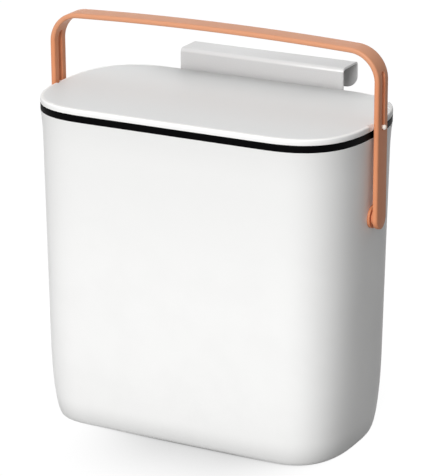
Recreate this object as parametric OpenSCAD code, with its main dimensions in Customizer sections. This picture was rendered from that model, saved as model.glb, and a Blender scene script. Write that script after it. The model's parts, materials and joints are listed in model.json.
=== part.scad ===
// Hanging kitchen caddy: a moulded bucket with a bag ring, a rear-hinged lid,
// a slotted strap handle that the lid's side pins ride in, and a hook that
// hangs the caddy on a cabinet door.
// X is the width, +Y is the back, +Z is up. The origin is on the floor, under the middle.

/* [Bucket] */
// Width over the rim and the lid
rim_w = 250; // [220:1:280]
// Depth over the rim and the lid
rim_d = 135; // [120:1:150]
// Length of each curved end, along the width
end_len = 57; // [50:1:62]
// Squareness of the curved ends, where 2 is an ellipse
end_power = 2.7; // [2.3:0.1:3.2]
// Height of the rim above the floor
rim_z = 232; // [200:1:260]
// How far each end narrows from the flare to the floor
side_draft = 4.4; // [2:0.1:6]
// How far the front and the back each narrow from the flare to the floor
face_draft = 3; // [1.5:0.25:5]
// Length of each curved end at the floor, before the base is rounded
base_end_len = 45.5; // [38:0.5:50]
// Height of the flare under the rim
flare_h = 25; // [15:1:35]
// How far the flare stands out on each side
flare = 1.5; // [0.5:0.1:2.5]
// Height of the rounding at the base
round_h = 57; // [30:1:60]
// How far the rounding draws the base in
round_in = 6.2; // [5:0.1:10]
// Thickness of the bucket's walls
wall = 2.2; // [1.8:0.1:2.8]
// Thickness of the bucket's floor
floor_t = 2.6; // [2.2:0.1:3.5]

/* [Base pad] */
// Length of the non-slip pad that the caddy stands on
base_pad_len = 176; // [140:2:184]
// Width of the non-slip pad
base_pad_w = 62; // [48:1:70]
// Thickness of the non-slip pad
base_pad_t = 1.6; // [1.3:0.1:2.2]
// How far the non-slip pad stands out of its pocket
base_pad_proud = 0.6; // [0.4:0.1:1]

/* [Bag ring] */
// Height of the ring's visible band
ring_h = 4.8; // [4.2:0.1:6]
// Thickness of the ring's inner skirt
skirt_t = 1.6; // [1.2:0.1:2]
// How far the skirt reaches down into the bucket
skirt_depth = 18; // [12:1:24]
// Gap between the skirt and the bucket, for the bag
bag_gap = 0.4; // [0.3:0.1:0.8]

/* [Lid] */
// Gap between the lid and the bag ring
lid_gap = 0.3; // [0.3:0.05:0.5]
// Height of the lid's edge
lid_h = 4.3; // [4:0.1:6]
// Rounding of the lid's top edge
lid_round = 1.1; // [0.8:0.1:2.4]
// Thickness of the lid's top
lid_top_t = 2; // [1.6:0.1:2.1]
// Width of the lid's edge wall
lid_edge_t = 3.2; // [2.6:0.1:3.6]
// Thickness of the liner's plate
liner_t = 1.9; // [1.5:0.1:2]
// Depth of the liner's plug below the lid's edge
plug_depth = 8.5; // [7:0.5:12]
// Thickness of the plug's wall
plug_t = 2.2; // [1.8:0.1:3]
// Gap between the plug and the bag ring
plug_gap = 0.8; // [0.7:0.05:1.2]
// Height of the seal round the plug
seal_h = 3; // [2.4:0.1:3.4]
// How deep the seal sits in the plug's groove
seal_seat = 0.8; // [0.6:0.1:1.1]
// Number of ribs under the liner
lid_ribs = 5; // [3:1:9]
// Height of the liner's ribs
lid_rib_h = 3; // [2:0.5:5]
// Thickness of the liner's ribs
lid_rib_t = 1.5; // [1.2:0.1:2.2]
// Angle that the lid opens to
lid_open = 31; // [20:1:32]
// How far the scoop at each end of the lid reaches past the sides of the strap
relief_side = 3.2; // [3:0.1:8]

/* [Lid hinge] */
// How far the hinge axis lies behind the rim
hinge_back = 2.9; // [2.9:0.1:3.4]
// How far the hinge axis lies below the top of the bag ring
hinge_drop = 0.4; // [0.2:0.1:0.8]
// Radius of a hinge knuckle
knuckle_r = 2.5; // [2.3:0.1:2.6]
// Gap between the door hook and each hinge
hinge_gap = 2.8; // [1.5:0.1:5]
// Length of the lid's knuckle
lid_knuckle = 9.4; // [6:0.2:12]
// Length of each of the bucket's knuckles
bucket_knuckle = 4.5; // [3.5:0.1:6]
// Radius of the hinge pin
hinge_pin_r = 1.25; // [1:0.05:1.4]

/* [Lid pins] */
// Radius of a lid pin's shank
pin_r = 1.5; // [1.2:0.1:1.6]
// Radius of a lid pin's domed head
pin_head_r = 1.9; // [1.9:0.1:3]
// Height of the domed head
pin_head_h = 1.8; // [1:0.1:1.9]
// Height of the pin's axis above the lid's lower edge
pin_rise = 1.6; // [1.2:0.1:1.7]
// Radius of the boss that holds the pin
ear_r = 2.5; // [2.3:0.1:2.6]
// Length of the boss that holds the pin
ear_len = 5.6; // [4.5:0.1:6.2]

/* [Handle] */
// Width of the strap
strap_w = 16.6; // [12:0.2:18]
// Thickness of the strap
strap_t = 3.8; // [3:0.1:4.5]
// Rounding of the strap's long edges
strap_round = 1.6; // [0.6:0.1:1.7]
// Gap between the lid's end and the strap
strap_gap = 1.2; // [1.1:0.1:2.5]
// Height of the grip's top above the rim
grip_rise = 64.5; // [60:0.1:80]
// Radius of the strap's corners, at mid thickness
corner_r = 21.2; // [18:0.1:35]
// Slope of the grip where it meets a corner
grip_tilt = 2.5; // [1:0.1:4]
// Forward lean of the handle over the closed lid
handle_lean = 0.6; // [0.3:0.1:0.7]
// Width of the slots that the lid pins ride in
slot_w = 5; // [5:0.1:7]
// Depth of the pivots below the rim
pivot_drop = 58.4; // [50:0.1:70]

/* [Handle pivots] */
// Radius of the studs that the handle turns on
stud_r = 4.5; // [3.6:0.1:4.8]
// Radius of a pivot bush's barrel
barrel_r = 6; // [5.8:0.1:7]
// Radius of a pivot bush's flange
flange_r = 8.2; // [7.4:0.1:10]
// Thickness of the flange
flange_t = 2; // [1.6:0.1:2.8]
// Length of a bush's barrel
barrel_len = 6.3; // [5:0.1:9]
// Radius of the retaining cap
cap_r = 8.5; // [7.5:0.1:10]
// Thickness of the retaining cap
cap_t = 2.2; // [1.6:0.1:3]
// Radius of the retaining screw's shank
screw_r = 1.5; // [1.2:0.1:2]
// Length of the retaining screw under its head
screw_len = 10; // [7:0.5:11]
// Radius of the retaining screw's head
screw_head_r = 3; // [2.6:0.1:4]
// Height of the retaining screw's head
screw_head_h = 2.1; // [1.6:0.1:2.8]

/* [Door hook] */
// Width of the hook
hook_w = 132.4; // [110:0.2:134]
// Thickness of the hook's sheet
sheet = 1.6; // [1.2:0.1:2]
// Gap between the rim and the hook's front plate
hook_back = 3.7; // [3.7:0.1:6]
// Height of the hook above the rim
hook_rise = 23.8; // [18:0.2:30]
// Clear gap between the front plate and the rear flange
hook_gap = 22.4; // [20:0.2:27]
// Length of the rear flange, from the top of the hook
flange_drop = 20; // [17:0.1:30]
// Length of the front plate, from the top of the hook
plate_len = 106; // [100:1:120]
// Outside radius of the hook's bends
bend_r = 3.4; // [2.4:0.1:4]
// Radius of the flange's lower corners
flange_corner = 8.5; // [4:0.5:10]
// Distance from each side of the hook to the door pads
pad_margin = 12; // [8:1:20]
// Thickness of the door pads
pad_t = 1.8; // [1.2:0.1:2.2]
// Height of the door pads
pad_h = 12; // [8:0.5:14]
// Radius of the hook screws' shanks
hook_screw_r = 1.7; // [1.4:0.1:2]
// Radius of the hook screws' countersunk heads
hook_head_r = 3.2; // [2.8:0.1:4]
// Length of the hook screws
hook_screw_len = 7; // [6:0.1:7.4]
// Distance between the hook screws along the width
hook_screw_x = 90; // [70:2:110]
// Depth of the upper hook screws below the rim
hook_screw_drop = 34; // [32:1:40]
// Distance between the upper and lower hook screws
hook_screw_z = 32; // [24:1:36]
// Radius of the bosses that the hook is screwed to
boss_r = 5.5; // [4.5:0.1:7]

/* [Hidden] */
$fn = 48;

// Fineness of the lofted surfaces
end_steps = 14;
round_steps = 11;
flare_steps = 5;
corner_steps = 10;
grip_steps = 8;
tip_steps = 7;
edge_steps = 3;
lid_edge_steps = 4;
slot_steps = 12;
dome_steps = 8;
bend_steps = 6;

// Clearances
seat_gap = 0.05;     // round a pin, bush or screw that is held
run_gap = 0.06;      // round a pin or stud that turns
part_gap = 0.35;     // between faces that move past each other
notch_gap = 0.6;     // round the lid's ears in the ring, and round its blocks in the liner
liner_gap = 0.2;     // round the liner in the lid
skin = 0.01;         // overlap that joins one solid to the next
past = 1;            // how far a cutter runs past the face it opens
hole_spare = 0.2;    // how much deeper than its screw a hole is

// Small roundings and shares
ring_ease = 0.5;     // bevel along the bag ring's and the plug's edges
lid_ease = 0.4;      // bevel along the lid's lower edge
most_round = 0.9;    // largest share of a half width that a rounding takes
cross_share = 0.25;  // width of a driver cross, as a share of its head's radius

// Bucket heights
body_z = base_pad_proud;
round_z = body_z + round_h;
flare_z = rim_z - flare_h;
floor_z = body_z + floor_t;

// Bag ring, from the rim inwards
ring_top = rim_z + ring_h;
skirt_out = wall + flare + bag_gap;
skirt_in = skirt_out + skirt_t;
notch_z = ring_top + lid_gap + pin_rise - ear_r - notch_gap / 2;

// Lid
lid_z = ring_top + lid_gap;
lid_top = lid_z + lid_h;
liner_z = lid_top - lid_top_t;
plug_out = skirt_in + plug_gap;
plug_in = plug_out + plug_t;
plug_z = lid_z - plug_depth;
seal_rise = 1.3;
seal_z = plug_z + seal_rise;
seal_lip = 0.9;
lip_slope = 0.2;
lip_out = skirt_in + part_gap;

// Lid hinge
hinge_y = rim_d / 2 + hinge_back;
hinge_z = ring_top - hinge_drop;
hinge_len = lid_knuckle + 2 * (part_gap + bucket_knuckle);
hinge_x = hook_w / 2 + hinge_gap + hinge_len / 2;
lug_h = 16;
lug_top = 0.4;
lug_rear = 2;
lug_in = 0.1;

// Handle pivots, at the middle of each end of the bucket
pivot_z = rim_z - pivot_drop;
spot_depth = 0.4;
spot_x = rim_w / 2 - end_in(pivot_z) - spot_depth;
strap_in = rim_w / 2 + strap_gap;
strap_mid = strap_in + strap_t / 2;
strap_out = strap_in + strap_t;
barrel_end = spot_x - barrel_len;
bush_proud = 0.3;
boss_end = barrel_end + bush_proud;
boss_wall = 4.5;
boss_sink = 0.5;
stud_end = barrel_end - part_gap;
shoulder_step = 1.5;
tip_start = 6;

// Lid pins, and the way that they climb the handle's slots
pin_z = lid_z + pin_rise;
pin_end = rim_w / 2 - ear_len;
relief_half = strap_w / 2 + relief_side;
block_half = relief_half + lid_edge_t;
ear_short = 0.5;
ear_end = rim_w / 2 - ear_short;
pin_arm_y = hinge_y;
pin_arm_z = pin_z - hinge_z;
open_y = hinge_y - pin_arm_y * cos(lid_open) + pin_arm_z * sin(lid_open);
open_z = hinge_z + pin_arm_y * sin(lid_open) + pin_arm_z * cos(lid_open);
pin_climb = norm([open_y, open_z - pivot_z]) - (pin_z - pivot_z);
open_tilt = lid_open - atan2(open_y, open_z - pivot_z);
slot_ease = 0.5;
slot_low = pin_z + slot_ease;
slot_high = pin_z + pin_climb + slot_ease;

// Grip: an arch that runs into the corners at grip_tilt; the open lid's pins stand past_corner above
// the lower ends of the corners
grip_z = rim_z + grip_rise - strap_t / 2;
corner_x = strap_mid - corner_r;
arch_r = corner_x / sin(grip_tilt) + corner_r;
corner_z = grip_z - arch_r + (arch_r - corner_r) * cos(grip_tilt);
past_corner = pin_z + pin_climb - corner_z;

// Door hook
plate_y = rim_d / 2 + hook_back;
hook_top = rim_z + hook_rise;
flange_y = plate_y + sheet + hook_gap;
pad_w = hook_w - 2 * pad_margin;
pad_space = 1;
pad_drop = bend_r + pad_space;
head_t = hook_head_r - hook_screw_r;
rib_t = 2;
rib_reach = 4;

// How far a slice of the bucket lies inside the rim: at the ends, and at the front and back
function flare_in(z) = z > flare_z ? flare * (1 - pow((z - flare_z) / flare_h, 2)) : flare;
function drop(z) = max(0, (flare_z - z) / flare_z);
function end_in(z) = flare_in(z) + side_draft * drop(z);
function face_in(z) = flare_in(z) + face_draft * drop(z);
function end_at(z) = end_len - flare_in(z) - (end_len - flare - base_end_len) * drop(z);

// Outline with a straight front and back and a superelliptic end of length e on each side
function end_curve(e, d) = [for (i = [0:end_steps]) let (t = 90 * i / end_steps)
    [e * pow(sin(t), 2 / end_power), d / 2 * pow(cos(t), 2 / end_power)]];
function outline(w, d, e) = let (x = w / 2 - e, q = end_curve(e, d), m = end_steps) concat(
    [for (i = [0:m]) [x + q[i][0], -q[i][1]]],
    [for (i = [m - 1:-1:0]) [x + q[i][0], q[i][1]]],
    [for (i = [0:m]) [-x - q[i][0], q[i][1]]],
    [for (i = [m - 1:-1:0]) [-x - q[i][0], -q[i][1]]]);

// The bucket's slice at height z drawn in by a further distance, and the rim's outline drawn in
function slice(z, inset) = lift(outline(rim_w - 2 * (end_in(z) + inset),
    rim_d - 2 * (face_in(z) + inset), end_at(z) - inset), z);
function rim(inset, z) = lift(outline(rim_w - 2 * inset, rim_d - 2 * inset, end_len - inset), z);
function lift(points, z) = [for (p = points) [p[0], p[1], z]];

// Inner face of the strap at height z, where it runs into a corner
function strap_face(z) = z < corner_z ? strap_in
    : corner_x + sqrt(pow(corner_r - strap_t / 2, 2) - pow(z - corner_z, 2));

// Depth of the bucket's back wall at a place on it
function back_y(x, z) = let (d = rim_d / 2 - face_in(z), e = end_at(z),
    u = max(0, (abs(x) - (rim_w / 2 - end_in(z) - e)) / e))
    d * pow(1 - pow(u, end_power), 1 / end_power);

// Points of an arc of radius r about c, from angle a to angle b
function arc(c, r, a, b, steps) = [for (i = [0:steps]) let (t = a + (b - a) * i / steps)
    [c[0] + r * cos(t), c[1] + r * sin(t)]];

// Skin over a list of rings with as many points each, capped at the first and the last
module loft(rings) {
    n = len(rings[0]);
    m = len(rings);
    polyhedron(
        points = [for (ring = rings) each ring],
        faces = concat(
            [[for (i = [0:n - 1]) i]],
            [for (j = [0:m - 2], i = [0:n - 1], f = wall_faces(j * n, (j + 1) * n, i, n)) f],
            [[for (i = [n - 1:-1:0]) (m - 1) * n + i]]));
}

// Skin over a list of rings that closes on itself, as a frame does
module frame_loft(rings) {
    n = len(rings[0]);
    m = len(rings);
    polyhedron(
        points = [for (ring = rings) each ring],
        faces = [for (j = [0:m - 1], i = [0:n - 1], f = wall_faces(j * n, ((j + 1) % m) * n, i, n)) f]);
}

function wall_faces(a, b, i, n) = let (k = (i + 1) % n) [[a + i, b + i, b + k], [a + i, b + k, a + k]];

// Cylinder along the width, from x = a to x = b
module rod_x(a, b, r, y, z) {
    translate([min(a, b), y, z]) rotate([0, 90, 0]) cylinder(h = abs(b - a), r = r);
}

// Cylinder along the depth, from y = a to y = b
module rod_y(a, b, r, x, z) {
    translate([x, a, z]) rotate([-90, 0, 0]) cylinder(h = b - a, r = r);
}

// Outline in the depth and height, drawn along the width from x = a to x = b
module bar_x(points, a, b) {
    translate([min(a, b), 0, 0]) rotate([90, 0, 90]) linear_extrude(abs(b - a)) polygon(points);
}

// Where the hook's screws go
module at_hook_screws() {
    for (x = [-1, 1] * hook_screw_x / 2, down = [0, hook_screw_z])
        translate([x, 0, rim_z - hook_screw_drop - down]) children();
}

// ---- Bucket ----

module bucket_shell() {
    outside = concat(
        [for (i = [0:round_steps]) let (a = 90 - 90 * i / round_steps)
            slice(body_z + round_h * (1 - sin(a)), round_in * (1 - cos(a)))],
        [slice((round_z + flare_z) / 2, 0)],
        [for (i = [0:flare_steps]) slice(flare_z + flare_h * i / flare_steps, 0)]);
    inside = concat(
        [for (i = [flare_steps:-1:0]) slice(flare_z + flare_h * i / flare_steps, wall)],
        [slice((round_z + flare_z) / 2, wall)],
        [for (i = [round_steps:-1:0]) let (a = 90 - 90 * i / round_steps)
            slice(floor_z + (round_z - floor_z) * (1 - sin(a)), wall + round_in * (1 - cos(a)))]);
    loft(concat(outside, inside));
}

// Knuckle on the bucket's back, on a gusset that grows out of the wall
module bucket_lug(a, b) {
    foot_z = rim_z - lug_h;
    top_z = rim_z - lug_top;
    far = max(abs(a), abs(b));
    face_y = hinge_y - knuckle_r + lug_in;
    rear_y = hinge_y + knuckle_r - lug_in;
    low_y = back_y(far, foot_z) - wall / 2;
    high_y = back_y(far, rim_z) - wall / 2;
    rod_x(a, b, knuckle_r, hinge_y, hinge_z);
    bar_x([[face_y, hinge_z], [rear_y, hinge_z], [rear_y, rim_z - lug_rear],
        [low_y, foot_z], [high_y, top_z], [face_y, top_z]], a, b);
}

module bucket() {
    lug_near = hinge_x - lid_knuckle / 2 - part_gap;
    lug_far = hinge_x + lid_knuckle / 2 + part_gap;
    color("whitesmoke") difference() {
        union() {
            bucket_shell();
            for (s = [-1, 1]) {
                bucket_lug(s * (lug_near - bucket_knuckle), s * lug_near);
                bucket_lug(s * lug_far, s * (lug_far + bucket_knuckle));
                rod_x(s * boss_end, s * (spot_x - boss_sink), barrel_r + boss_wall, 0, pivot_z);
                translate([s * hook_screw_x / 2 - rib_t / 2, 0, 0]) hook_rib();
            }
            at_hook_screws() rod_y(rim_d / 2 - flare - face_draft - wall / 2, plate_y, boss_r, 0, 0);
        }
        for (s = [-1, 1]) {
            rod_x(s * (boss_end - past), s * (rim_w / 2 + past), barrel_r + seat_gap, 0, pivot_z);
            rod_x(s * spot_x, s * (rim_w / 2 + past), flange_r + part_gap, 0, pivot_z);
            rod_x(s * (lug_near - bucket_knuckle - past), s * (lug_far + bucket_knuckle + past),
                hinge_pin_r + seat_gap, hinge_y, hinge_z);
        }
        at_hook_screws() rod_y(plate_y - hook_screw_len + sheet - hole_spare, plate_y + past,
            hook_screw_r + seat_gap, 0, 0);
        translate([0, 0, body_z - past])
            base_pad_plate(seat_gap, past + base_pad_t - base_pad_proud + seat_gap);
    }
}

// Rib between an upper and a lower hook boss, which the plate bears on
module hook_rib() {
    low = rim_z - hook_screw_drop - hook_screw_z - boss_r - rib_reach;
    high = rim_z - hook_screw_drop + boss_r + rib_reach;
    bar_x([[back_y(0, low) - wall / 2, low], [plate_y, low], [plate_y, high],
        [back_y(0, high) - wall / 2, high]], 0, rib_t);
}

// Plate with round ends, of the non-slip pad's outline grown by a gap
module base_pad_plate(gap, h) {
    r = base_pad_w / 2 + gap;
    x = (base_pad_len - base_pad_w) / 2;
    translate([-x, -r, 0]) cube([2 * x, 2 * r, h]);
    for (s = [-1, 1]) translate([s * x, 0, 0]) cylinder(h = h, r = r);
}

module base_pad() {
    color("gray") base_pad_plate(0, base_pad_t);
}

// ---- Bag ring ----

module bag_ring() {
    ease = ring_ease;
    skirt_z = rim_z - skirt_depth;
    section = [
        [0, rim_z], [0, ring_top - ease], [ease, ring_top], [skirt_in - ease, ring_top],
        [skirt_in, ring_top - ease], [skirt_in, skirt_z], [skirt_out + ease, skirt_z],
        [skirt_out, skirt_z + 2 * ease], [skirt_out, rim_z]];
    color("#141414") difference() {
        frame_loft([for (p = section) rim(p[0], p[1])]);
        for (s = [-1, 1]) translate([s * rim_w / 2, 0, notch_z + rim_z / 2])
            cube([2 * (skirt_in + past), 2 * (ear_r + notch_gap), rim_z], center = true);
    }
}

// ---- Handle pivots ----

module pivot_bush(s) {
    color("sandybrown") difference() {
        union() {
            rod_x(s * spot_x, s * (spot_x + flange_t), flange_r, 0, pivot_z);
            rod_x(s * barrel_end, s * (spot_x + skin), barrel_r, 0, pivot_z);
        }
        rod_x(s * (barrel_end - past), s * (spot_x + flange_t + past), stud_r + run_gap, 0, pivot_z);
    }
}

module pivot_bush_left() { pivot_bush(-1); }
module pivot_bush_right() { pivot_bush(1); }

module pivot_cap(s) {
    color("dimgray") difference() {
        rod_x(s * (stud_end - cap_t), s * stud_end, cap_r, 0, pivot_z);
        rod_x(s * (stud_end - cap_t - past), s * (stud_end + past), screw_r + seat_gap, 0, pivot_z);
    }
}

module pivot_cap_left() { pivot_cap(-1); }
module pivot_cap_right() { pivot_cap(1); }

// Pan-head screw that holds the cap on the end of the stud
module pivot_screw(s) {
    head = stud_end - cap_t;
    color("silver") {
        rod_x(s * (head - skin), s * (head + screw_len), screw_r, 0, pivot_z);
        translate([s * head, 0, pivot_z]) rotate([0, -s * 90, 0]) difference() {
            cylinder(h = screw_head_h, r1 = screw_head_r, r2 = screw_head_r - screw_head_h / 4);
            for (a = [0, 90]) rotate(a) translate([0, 0, screw_head_h])
                cube([screw_head_r, screw_head_r * cross_share, screw_head_h], center = true);
        }
    }
}

module pivot_screw_left() { pivot_screw(-1); }
module pivot_screw_right() { pivot_screw(1); }

// ---- Handle ----

// Stations along the strap: place across, height, angle of its normal from upright, half width
function strap_tip(s) = [for (i = [1:tip_steps]) let (t = 90 * i / (tip_steps + 1) + tip_start)
    [s * strap_mid, pivot_z - strap_w / 2 * cos(t), s * 90, strap_w / 2 * sin(t)]];
function strap_corner(s) = [for (i = [0:corner_steps]) let (t = 90 - (90 - grip_tilt) * i / corner_steps)
    [s * (corner_x + corner_r * sin(t)), corner_z + corner_r * cos(t), s * t, strap_w / 2]];
function strap_half(s) = concat(
    strap_tip(s), [[s * strap_mid, pivot_z, s * 90, strap_w / 2]], strap_corner(s));
function strap_grip() = [for (i = [1:grip_steps - 1]) let (t = grip_tilt * (1 - 2 * i / grip_steps))
    [arch_r * sin(t), grip_z - arch_r + arch_r * cos(t), t, strap_w / 2]];
function reversed(list) = [for (i = [len(list) - 1:-1:0]) list[i]];

// Rounded rectangle across the strap: its thickness, then its width
function strap_section(half_w) = let (
    r = min(strap_round, most_round * min(half_w, strap_t / 2)), u = strap_t / 2 - r, v = half_w - r)
    concat(arc([u, v], r, 0, 90, edge_steps), arc([-u, v], r, 90, 180, edge_steps),
        arc([-u, -v], r, 180, 270, edge_steps), arc([u, -v], r, 270, 360, edge_steps));

function strap_ring(st) = [for (p = strap_section(st[3]))
    [st[0] + p[0] * sin(st[2]), p[1], st[1] + p[0] * cos(st[2])]];

module strap() {
    loft([for (st = concat(strap_half(1), strap_grip(), reversed(strap_half(-1)))) strap_ring(st)]);
}

// Leans a part forward about the pivots
module leaned() {
    translate([0, 0, pivot_z]) rotate([handle_lean, 0, 0]) translate([0, 0, -pivot_z]) children();
}

module handle() {
    slot = concat(arc([0, slot_high], slot_w / 2, 0, 180, slot_steps),
        arc([0, slot_low], slot_w / 2, 180, 360, slot_steps));
    slot_in = strap_face(slot_high + slot_w / 2) - past;
    shoulder = spot_x + flange_t + part_gap;
    hole_end = stud_end - cap_t + screw_len + hole_spare;
    color("sandybrown") leaned() difference() {
        union() {
            strap();
            for (s = [-1, 1]) {
                rod_x(s * stud_end, s * strap_mid, stud_r, 0, pivot_z);
                rod_x(s * shoulder, s * strap_mid, stud_r + shoulder_step, 0, pivot_z);
            }
        }
        for (s = [-1, 1]) {
            bar_x(slot, s * slot_in, s * (strap_out + past));
            rod_x(s * (stud_end - past), s * hole_end, screw_r + seat_gap, 0, pivot_z);
        }
    }
}

// ---- Lid ----

// Shell of the lid: a thin top on an edge wall, with a block and a boss for a pin at each end
// and two knuckles
module lid_shell() {
    rings = concat(
        [rim(lid_edge_t, liner_z), rim(lid_edge_t, lid_z), rim(lid_ease, lid_z), rim(0, lid_z + lid_ease)],
        [for (i = [0:lid_edge_steps]) let (t = 90 * i / lid_edge_steps)
            rim(lid_round * (1 - cos(t)), lid_top - lid_round * (1 - sin(t)))]);
    color("whitesmoke") difference() {
        union() {
            loft(rings);
            for (s = [-1, 1]) {
                rod_x(s * pin_end, s * ear_end, ear_r, 0, pin_z);
                lid_block(s);
                lid_lug(s * (hinge_x - lid_knuckle / 2), s * (hinge_x + lid_knuckle / 2));
            }
        }
        for (s = [-1, 1]) {
            rod_x(s * (pin_end - past), s * (rim_w / 2 + past), pin_r + seat_gap, 0, pin_z);
            rod_x(s * (hinge_x - lid_knuckle), s * (hinge_x + lid_knuckle),
                hinge_pin_r + run_gap, hinge_y, hinge_z);
            lid_relief(s);
        }
    }
}

// Cutter that scoops out an end of the lid, to a gap inside the corner of the handle. The corner is
// taken as it stands over the open lid, from which the strap is seen to lean forward by open_tilt
module lid_relief(s) {
    low = lid_z - ear_r;
    high = lid_top + past;
    far = rim_w / 2 + past;
    difference() {
        translate([s * (corner_x + far) / 2, 0, (low + high) / 2])
            cube([far - corner_x, 2 * relief_half, high - low], center = true);
        translate([s * corner_x, past_corner * sin(open_tilt), pin_z - past_corner * cos(open_tilt)])
            rotate([open_tilt - 90, 0, 0])
                cylinder(h = 4 * relief_half, r = corner_r - strap_t / 2 - part_gap, center = true);
    }
}

// Block inside each end of the edge wall, which backs the scoop
module lid_block(s) {
    thick = ear_len - lid_edge_t / 2;
    translate([s * (pin_end + thick / 2), 0, (lid_z + liner_z + skin) / 2])
        cube([thick, 2 * block_half, liner_z - lid_z + skin], center = true);
}

// Knuckle behind the lid, on a web from its edge wall
module lid_lug(a, b) {
    root_y = back_y(max(abs(a), abs(b)), rim_z) - lid_edge_t / 2;
    rod_x(a, b, knuckle_r, hinge_y, hinge_z);
    bar_x([[root_y, lid_z], [hinge_y, lid_z], [hinge_y, hinge_z + knuckle_r - lug_in],
        [root_y, lid_top - lid_round]], a, b);
}

module lid_liner() {
    plate_z = liner_z - liner_t;
    edge = lid_edge_t + liner_gap;
    groove = plug_out + seal_seat + seat_gap;
    groove_low = seal_z - seat_gap;
    groove_high = seal_z + seal_h + seat_gap;
    section = [
        [plug_in, plate_z], [plug_in, plug_z], [plug_out + ring_ease, plug_z],
        [plug_out, plug_z + ring_ease], [plug_out, groove_low], [groove, groove_low],
        [groove, groove_high], [plug_out, groove_high], [plug_out, plate_z],
        [edge, plate_z], [edge, liner_z]];
    rib_gap = (rim_w - 2 * end_len) / (lid_ribs - 1);
    color("gainsboro") difference() {
        union() {
            loft([for (p = section) rim(p[0], p[1])]);
            for (i = [0:lid_ribs - 1])
                translate([-rim_w / 2 + end_len + i * rib_gap, 0, plate_z - lid_rib_h / 2 + skin])
                    cube([lid_rib_t, rim_d - 2 * plug_in + plug_t, lid_rib_h], center = true);
        }
        for (s = [-1, 1]) {
            translate([s * rim_w / 2, 0, liner_z])
                cube([2 * (ear_len + notch_gap), 2 * (block_half + notch_gap), 2 * lid_h], center = true);
            lid_relief(s);
        }
    }
}

// Seal with two lips that face the bag ring
module lid_seal() {
    back = plug_out + seal_seat;
    mid = plug_out + seat_gap;
    top = seal_z + seal_h;
    section = [
        [back, seal_z], [lip_out, seal_z + lip_slope], [lip_out, seal_z + seal_lip],
        [mid, seal_z + seal_lip + lip_slope], [mid, top - seal_lip - lip_slope], [lip_out, top - seal_lip],
        [lip_out, top - lip_slope], [back, top]];
    color("darkgray") frame_loft([for (p = reversed(section)) rim(p[0], p[1])]);
}

// Pin with a domed head outside the strap
module lid_pin(s) {
    head = strap_out + part_gap;
    dome_r = (pow(pin_head_r, 2) + pow(pin_head_h, 2)) / (2 * pin_head_h);
    color("ivory") {
        rod_x(s * pin_end, s * (head + skin), pin_r, 0, pin_z);
        translate([s * head, 0, pin_z]) rotate([0, s * 90, 0]) rotate_extrude() polygon(concat([[0, 0]],
            arc([0, pin_head_h - dome_r], dome_r, 90 - asin(pin_head_r / dome_r), 90, dome_steps)));
    }
}

module lid_pin_left() { lid_pin(-1); }
module lid_pin_right() { lid_pin(1); }

module hinge_pin(s) {
    near = hinge_x - hinge_len / 2;
    color("silver") rod_x(s * near, s * (near + hinge_len), hinge_pin_r, hinge_y, hinge_z);
}

module hinge_pin_left() { hinge_pin(-1); }
module hinge_pin_right() { hinge_pin(1); }

// ---- Door hook ----

// Sheet bent over the door: front plate, top and rear flange
module hanger_bracket() {
    y0 = plate_y;
    y1 = plate_y + sheet;
    y2 = flange_y;
    y3 = flange_y + sheet;
    inner_r = bend_r - sheet;
    top_in = hook_top - sheet;
    profile = concat(
        [[y0, hook_top - plate_len]], arc([y0 + bend_r, hook_top - bend_r], bend_r, 180, 90, bend_steps),
        arc([y3 - bend_r, hook_top - bend_r], bend_r, 90, 0, bend_steps), [[y3, hook_top - flange_drop]],
        [[y2, hook_top - flange_drop]], arc([y2 - inner_r, top_in - inner_r], inner_r, 0, 90, bend_steps),
        arc([y1 + inner_r, top_in - inner_r], inner_r, 90, 180, bend_steps), [[y1, hook_top - plate_len]]);
    color("lightgray") difference() {
        bar_x(profile, -hook_w / 2, hook_w / 2);
        for (s = [-1, 1]) {
            corner_cut(s, hook_top - flange_drop, y2 - past, y3 + past);
            corner_cut(s, hook_top - plate_len, y0 - past, y1 + past);
        }
        at_hook_screws() {
            rod_y(plate_y - past, plate_y + sheet + past, hook_screw_r + seat_gap, 0, 0);
            translate([0, plate_y + sheet + skin, 0]) rotate([90, 0, 0])
                cylinder(h = head_t + skin, r1 = hook_head_r + seat_gap + skin,
                    r2 = hook_screw_r + seat_gap);
        }
    }
}

// Cutter that rounds a lower corner of the sheet
module corner_cut(s, z, a, b) {
    r = flange_corner;
    translate([s * (hook_w / 2 - r), 0, z + r]) difference() {
        translate([s > 0 ? 0 : -r - past, a, -r - past]) cube([r + past, b - a, r + past]);
        rod_y(a - past, b + past, r, 0, 0);
    }
}

module hanger_screws() {
    color("silver") at_hook_screws() {
        rod_y(plate_y + sheet - hook_screw_len, plate_y + sheet - head_t + skin, hook_screw_r, 0, 0);
        translate([0, plate_y + sheet, 0]) rotate([90, 0, 0]) difference() {
            cylinder(h = head_t, r1 = hook_head_r, r2 = hook_screw_r);
            for (a = [0, 90]) rotate(a)
                cube([hook_head_r, hook_head_r * cross_share, head_t], center = true);
        }
    }
}

module door_pad(y) {
    translate([-pad_w / 2, y, hook_top - pad_drop - pad_h]) cube([pad_w, pad_t, pad_h]);
}

module hanger_front_pad() { color("dimgray") door_pad(plate_y + sheet); }
module hanger_rear_pad() { color("dimgray") door_pad(flange_y - pad_t); }

bucket();
base_pad();
bag_ring();
pivot_bush_left();
pivot_bush_right();
hinge_pin_left();
hinge_pin_right();
hanger_bracket();
hanger_screws();
hanger_front_pad();
hanger_rear_pad();
lid_shell();
lid_liner();
lid_seal();
lid_pin_left();
lid_pin_right();
handle();
pivot_cap_left();
pivot_cap_right();
pivot_screw_left();
pivot_screw_right();
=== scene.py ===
import json
import math

import bpy
import numpy as np
from mathutils import Matrix, Vector

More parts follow.
